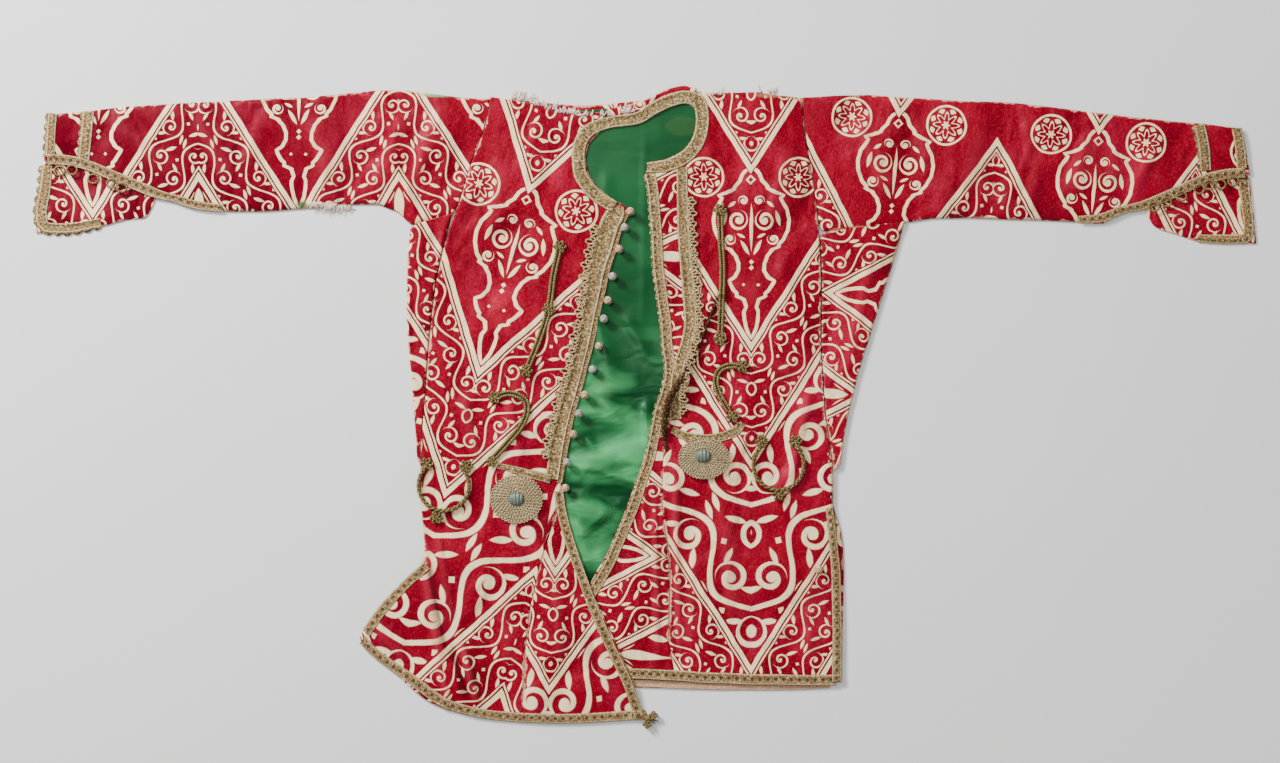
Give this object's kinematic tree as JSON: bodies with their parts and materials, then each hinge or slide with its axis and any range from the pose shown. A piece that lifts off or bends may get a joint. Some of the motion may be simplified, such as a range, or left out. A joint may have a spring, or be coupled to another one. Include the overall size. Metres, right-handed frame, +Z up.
{
  "type": "robe",
  "caption": "Front-opening hip-length robe of red figured silk with green lining, metal braid and ball buttons, laid flat.",
  "frame": {"origin": "middle of the robe's outline on the flat surface it lies on", "axes": "+X along the sleeves towards the wearer's left cuff, +Y from the hem towards the neck, +Z up out of the cloth"},
  "size_m": [1.526, 0.7964, 0.0186],
  "materials": {
    "red_silk": "figured silk, semi-matt, woven with cream scrollwork and chevrons",
    "deep_red_silk": "the same silk where it lies in shade",
    "green_satin": "silk satin with a soft sheen",
    "gold_braid": "metal-thread braid with dark spots",
    "silver_lace": "metal-thread lace with a dotted middle",
    "olive_cord": "metal-wrapped cord",
    "grey_boss": "grey-green thread wound over a hard core",
    "gold_button": "ball wound with gold thread",
    "silver_button": "ball wound with silver thread"
  },
  "bodies": {
    "root": {"front_left": "red_silk", "front_left_gore": "red_silk", "front_right": "red_silk", "front_right_gore": "red_silk", "side_gore_left": "red_silk", "side_gore_right": "red_silk", "sleeve_left": "red_silk", "sleeve_right": "red_silk", "back": "deep_red_silk", "back_neck": "deep_red_silk", "cuff_flap_left": "deep_red_silk", "cuff_flap_right": "deep_red_silk", "lining_back": "green_satin", "neck_braid": "gold_braid", "band_left": "gold_braid", "band_right": "gold_braid", "vent_braid_right": "gold_braid", "band_arm_left": "gold_braid", "band_arm_right": "gold_braid", "cuff_braid_left": "gold_braid", "slit_braid_left": "gold_braid", "cross_braid_left": "gold_braid", "flap_braid_left": "gold_braid", "cuff_braid_right": "gold_braid", "slit_braid_right": "gold_braid", "cross_braid_right": "gold_braid", "flap_braid_right": "gold_braid", "tassel": "gold_braid", "edge_braid_left": "silver_lace", "edge_lace_right": "silver_lace", "skirt_braid_left": "silver_lace", "hem_braid_left": "silver_lace", "vent_braid_left": "silver_lace", "hem_braid_right": "silver_lace", "back_hem_braid": "silver_lace", "rosette_left": "olive_cord", "rosette_right": "olive_cord", "bar_left": "olive_cord", "bar_right": "olive_cord", "scroll_left": "olive_cord", "scroll_right": "olive_cord", "ring_left": "olive_cord", "ring_right": "olive_cord", "boss_left": "grey_boss", "boss_right": "grey_boss", "vent_button": "gold_button", "button_01": "gold_button", "button_03": "gold_button", "button_05": "gold_button", "button_07": "gold_button", "button_09": "gold_button", "button_11": "gold_button", "button_13": "gold_button", "button_02": "silver_button", "button_04": "silver_button", "button_06": "silver_button", "button_08": "silver_button", "button_10": "silver_button", "button_12": "silver_button"}
  },
  "joints": []
}
